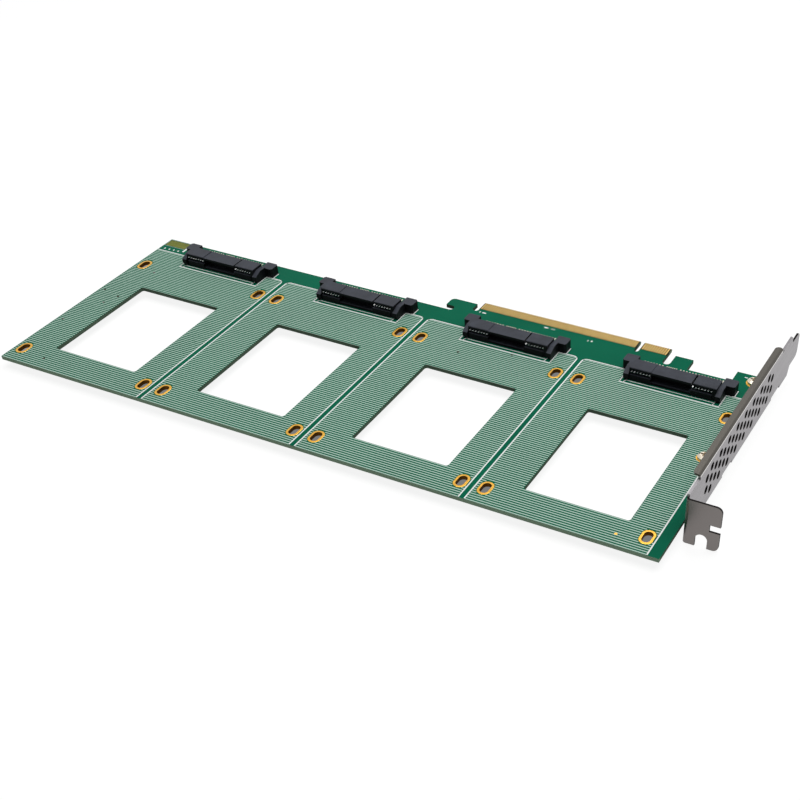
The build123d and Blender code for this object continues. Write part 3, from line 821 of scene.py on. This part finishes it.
class CARD_OT_stage(Operator):
    """Sets up the floor, the soft light and the camera"""

    bl_idname = "card.stage"
    bl_label = "Stage"

    FLOOR_HALF = 2.5
    FLOOR_DROP = 0.05 * MM
    SHADE_DROP = 0.03 * MM
    # How strongly the floor glows for the camera: open, where it reads as white, and beneath the board, where the
    # weaker glow is a painted shadow
    OPEN_GLOW = 1.12
    SHADE_GLOW = 0.25
    GLOW_SHARE = 0.78
    # From the card's middle to the softbox, its side in metres and its power in watts
    BOX_PLACE = Vector((-0.2, 0.1, 0.9))
    BOX_SIDE = 1.0
    BOX_POWER = 9.2
    # How bright the world is as light on matt surfaces, and to the camera and in gloss
    WORLD_LIGHT = 0.08
    WORLD_SEEN = 1.0

    def execute(self, context):
        colours = context.scene.card_colours
        middle = (Vector(CAD_BOX[0]) + Vector(CAD_BOX[1])) / 2
        bm = bmesh.new()
        bmesh.ops.create_grid(bm, x_segments=1, y_segments=1, size=self.FLOOR_HALF)
        bmesh.ops.translate(bm, verts=bm.verts, vec=(middle.x, middle.y, CAD_BOX[0][2] - self.FLOOR_DROP))
        self.lay("floor", bm, self.floor_paint("matt studio floor", colours, self.OPEN_GLOW))
        # The patch beneath the board glows less: a painted shadow, seen through the slots.
        shaded = self.floor_paint("matt studio floor in shade", colours, self.SHADE_GLOW)
        self.lay("shaded floor", self.beneath_board(), shaded)
        self.light("overhead softbox", middle + self.BOX_PLACE, middle, self.BOX_SIDE, self.BOX_POWER)
        self.world()
        self.camera()
        context.scene.view_settings.view_transform = "Standard"
        return {"FINISHED"}

    @staticmethod
    def lay(name, bm, paint):
        """Makes a piece of floor, which belongs to the stage and not to the card."""
        mesh = bpy.data.meshes.new(name)
        bm.to_mesh(mesh)
        bm.free()
        piece = bpy.data.objects.new(name, mesh)
        bpy.context.scene.collection.objects.link(piece)
        mesh.materials.append(paint)

    def beneath_board(self):
        """The floor beneath the board, glowing less as a painted shadow, left out where a window or an edge would
        show it.
        """
        level = CAD_BOX[0][2] - self.SHADE_DROP
        spare = 1.0 * MM

        def shown(axis, place, height):
            """Where the floor is seen just past an edge of the board, along one axis."""
            return place - (EYE[axis] - place) * (height - level) / (EYE.z - height)

        under = BOARD_LOW.z
        x_steps = [
            shown(0, BAYS[0].x - SPACING_X / 2 - SLOT_TRAVEL / 2 - SLOT_HALF_WIDTH, 0.0) - spare,
            shown(0, WINDOWS[0][0][0] - WINDOW_INSET, under) - spare,
            shown(0, WINDOWS[0][1][0] + WINDOW_INSET, 0.0) + spare,
            shown(0, BOARD_HIGH.x, under) - spare,
        ]
        y_steps = [shown(1, BOARD_LOW.y, 0.0) + spare]
        for low, high in sorted(WINDOWS, key=lambda box: box[0][1]):
            y_steps.append(shown(1, low[1] - WINDOW_INSET, under) - spare)
            y_steps.append(shown(1, high[1] + WINDOW_INSET, 0.0) + spare)
        y_steps.append(shown(1, BOARD_HIGH.y, under) - spare)
        bm = bmesh.new()
        for column, (left, right) in enumerate(zip(y_steps, y_steps[1:])):
            for row, (rear, front) in enumerate(zip(x_steps, x_steps[1:])):
                if row != 1 or column % 2 == 0:
                    corners = ((rear, left), (front, left), (front, right), (rear, right))
                    bm.faces.new([bm.verts.new((x, y, level)) for x, y in corners])
        return bm

    def floor_paint(self, name, colours, strength):
        """Matt pale paint that keeps a faint shadow, with a glow that the camera sees as white, or as grey where the
        patch beneath the board is a painted shadow.
        """
        material, tree, shader, _ = new_material(name)
        shader.inputs["Base Color"].default_value = linear(colours.floor)
        shader.inputs["Roughness"].default_value = 0.9
        glow = add(tree, "ShaderNodeEmission", {"Color": (1, 1, 1, 1), "Strength": strength})
        share = add(tree, "ShaderNodeMath", {0: seen(tree), 1: self.GLOW_SHARE}, operation="MULTIPLY")
        both = add(
            tree, "ShaderNodeMixShader",
            {0: share.outputs[0], 1: shader.outputs["BSDF"], 2: glow.outputs["Emission"]},
        )
        output = next(n for n in tree.nodes if n.type == "OUTPUT_MATERIAL")
        tree.links.new(both.outputs[0], output.inputs["Surface"])
        return material

    @staticmethod
    def light(name, place, target, size, power):
        """Adds a square softbox that looks at a point."""
        lamp = bpy.data.lights.new(name, "AREA")
        lamp.size = size
        lamp.energy = power
        box = bpy.data.objects.new(name, lamp)
        box.location = place
        box.rotation_euler = (target - place).to_track_quat("-Z", "Y").to_euler()
        bpy.context.scene.collection.objects.link(box)

    def world(self):
        """Even grey daylight that reads as white to the camera and in gloss."""
        world = bpy.data.worlds.new("studio")
        bpy.context.scene.world = world
        world.use_nodes = True
        tree = world.node_tree
        tree.nodes.clear()
        levels = {"Value": seen(tree), "To Min": self.WORLD_LIGHT, "To Max": self.WORLD_SEEN}
        strength = add(tree, "ShaderNodeMapRange", levels)
        sky = add(tree, "ShaderNodeBackground", {"Color": (1, 1, 1, 1), "Strength": strength.outputs["Result"]})
        add(tree, "ShaderNodeOutputWorld", {"Surface": sky.outputs["Background"]})

    @staticmethod
    def camera():
        """Stands the camera where the photograph was taken from."""
        lens = bpy.data.cameras.new("camera")
        lens.sensor_width = 36
        lens.lens = 53.779
        lens.shift_x = -0.16196
        lens.shift_y = 0.34552
        lens.clip_start = 0.01
        eye = bpy.data.objects.new("camera", lens)
        eye.location = EYE
        eye.rotation_euler = [math.radians(a) for a in (43.3551, 0.7698, 116.654)]
        bpy.context.scene.collection.objects.link(eye)
        bpy.context.scene.camera = eye


class CARD_PT_panel(Panel):
    """Lists the card's making steps"""

    bl_idname = "CARD_PT_panel"
    bl_label = "Carrier Card"
    bl_space_type = "VIEW_3D"
    bl_region_type = "UI"
    bl_category = "Carrier Card"

    def draw(self, context):
        for step in STEPS:
            self.layout.operator(step.bl_idname)


STEPS = (
    CARD_OT_board,
    CARD_OT_edge_pads,
    CARD_OT_legend,
    CARD_OT_slot_plating,
    CARD_OT_receptacles,
    CARD_OT_bracket,
    CARD_OT_solder_side,
    CARD_OT_stage,
)
CLASSES = (CardSizes, CardColours, *STEPS, CARD_PT_panel)


def register():
    for cls in CLASSES:
        bpy.utils.register_class(cls)
    bpy.types.Scene.card_sizes = PointerProperty(type=CardSizes)
    bpy.types.Scene.card_colours = PointerProperty(type=CardColours)


def unregister():
    del bpy.types.Scene.card_colours
    del bpy.types.Scene.card_sizes
    for cls in reversed(CLASSES):
        bpy.utils.unregister_class(cls)


def main():
    """Registers the add-on and runs every step in order."""
    register()
    for step in STEPS:
        group, name = step.bl_idname.split(".")
        getattr(getattr(bpy.ops, group), name)()


if __name__ == "__main__":
    main()
